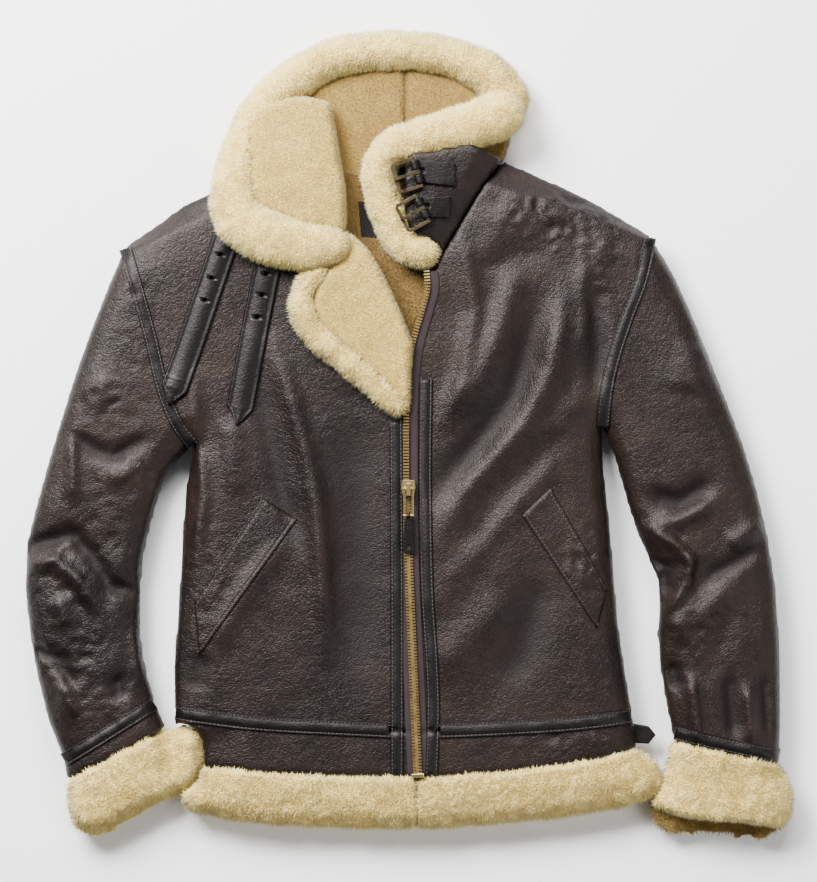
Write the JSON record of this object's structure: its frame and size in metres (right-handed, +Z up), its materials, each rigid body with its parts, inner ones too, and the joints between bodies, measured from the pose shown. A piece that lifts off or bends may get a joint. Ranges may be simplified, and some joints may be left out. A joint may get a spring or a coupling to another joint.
{
  "type": "shearling coat",
  "caption": "Sheepskin coat laid flat, front up: brown leather outside, cream wool collar, cuffs and hem, zip front, slash pockets and buckled collar straps.",
  "frame": {"origin": "on the surface the coat lies on, under the middle of its outline", "axes": "+X to the wearer's left, +Y from hem to collar, +Z up out of the front"},
  "size_m": [0.7686, 0.8112, 0.0792],
  "materials": {
    "leather": "dark brown grained leather with a soft sheen",
    "wool": "cream sheared wool, matt",
    "trim_leather": "smooth near-black leather, stitched",
    "zip_cloth": "woven tape, matt",
    "brass": "bright brass",
    "buckle_metal": "antique brass, darkened",
    "label_cloth": "black woven label, bare"
  },
  "bodies": {
    "coat": {"back": "leather", "front_right": "leather", "front_left": "leather", "sleeve_right_upper": "leather", "sleeve_right_under": "leather", "sleeve_left_upper": "leather", "sleeve_left_under": "leather", "cuff_band_right_upper": "leather", "cuff_band_right_under": "leather", "hem_right": "leather", "hem_left": "leather", "hem_back": "leather", "collar_left": "leather", "welt_right": "leather", "welt_left": "leather", "cuff_fur_right_upper": "wool", "cuff_fur_right_under": "wool", "cuff_fur_left_upper": "wool", "cuff_fur_left_under": "wool", "hem_fur_right": "wool", "hem_fur_left": "wool", "hem_fur_back": "wool", "rim_back": "wool", "rim_left": "wool", "collar_back": "wool", "collar_right": "wool", "lapel_trim": "wool", "lapel": "wool", "armhole_tape_right": "trim_leather", "armhole_tape_left": "trim_leather", "hem_tape_right": "trim_leather", "hem_tape_left": "trim_leather", "cuff_tape_right": "trim_leather", "cuff_tape_left": "trim_leather", "strip_right": "trim_leather", "strip_left": "trim_leather", "strap_long_outer": "trim_leather", "strap_long_inner": "trim_leather", "strap_short_top": "trim_leather", "strap_short_low": "trim_leather", "hem_tab_left": "trim_leather", "zip_tape_right": "zip_cloth", "zip_tape_left": "zip_cloth", "zip_teeth_open": "brass", "zip_chain": "brass", "zip_stop": "brass", "zip_slider": "brass", "label": "label_cloth"},
    "pull": {"zip_link": "brass", "zip_pull": "trim_leather"},
    "frame_top": {"buckle_top": "buckle_metal"},
    "tongue_top": {"prong_top": "buckle_metal"},
    "frame_low": {"buckle_low": "buckle_metal"},
    "tongue_low": {"prong_low": "buckle_metal"}
  },
  "joints": [
    {"name": "pull_swing", "type": "hinge", "parent": "coat", "child": "pull", "pos_m": [-0.00045, -0.05217, 0.0564], "axis": [-1, 0, 0], "range_deg": [0, 160]},
    {"name": "top_frame_swing", "type": "hinge", "parent": "coat", "child": "frame_top", "pos_m": [0.00815, 0.26083, 0.0625], "axis": [-0.309, 0.9511, 0], "range_deg": [0, 90]},
    {"name": "top_tongue_swing", "type": "hinge", "parent": "frame_top", "child": "tongue_top", "pos_m": [0.00815, 0.26083, 0.0625], "axis": [-0.309, 0.9511, 0], "range_deg": [0, 60]},
    {"name": "low_frame_swing", "type": "hinge", "parent": "coat", "child": "frame_low", "pos_m": [0.01315, 0.22483, 0.0625], "axis": [-0.4695, 0.8829, 0], "range_deg": [0, 90]},
    {"name": "low_tongue_swing", "type": "hinge", "parent": "frame_low", "child": "tongue_low", "pos_m": [0.01315, 0.22483, 0.0625], "axis": [-0.4695, 0.8829, 0], "range_deg": [0, 60]}
  ]
}
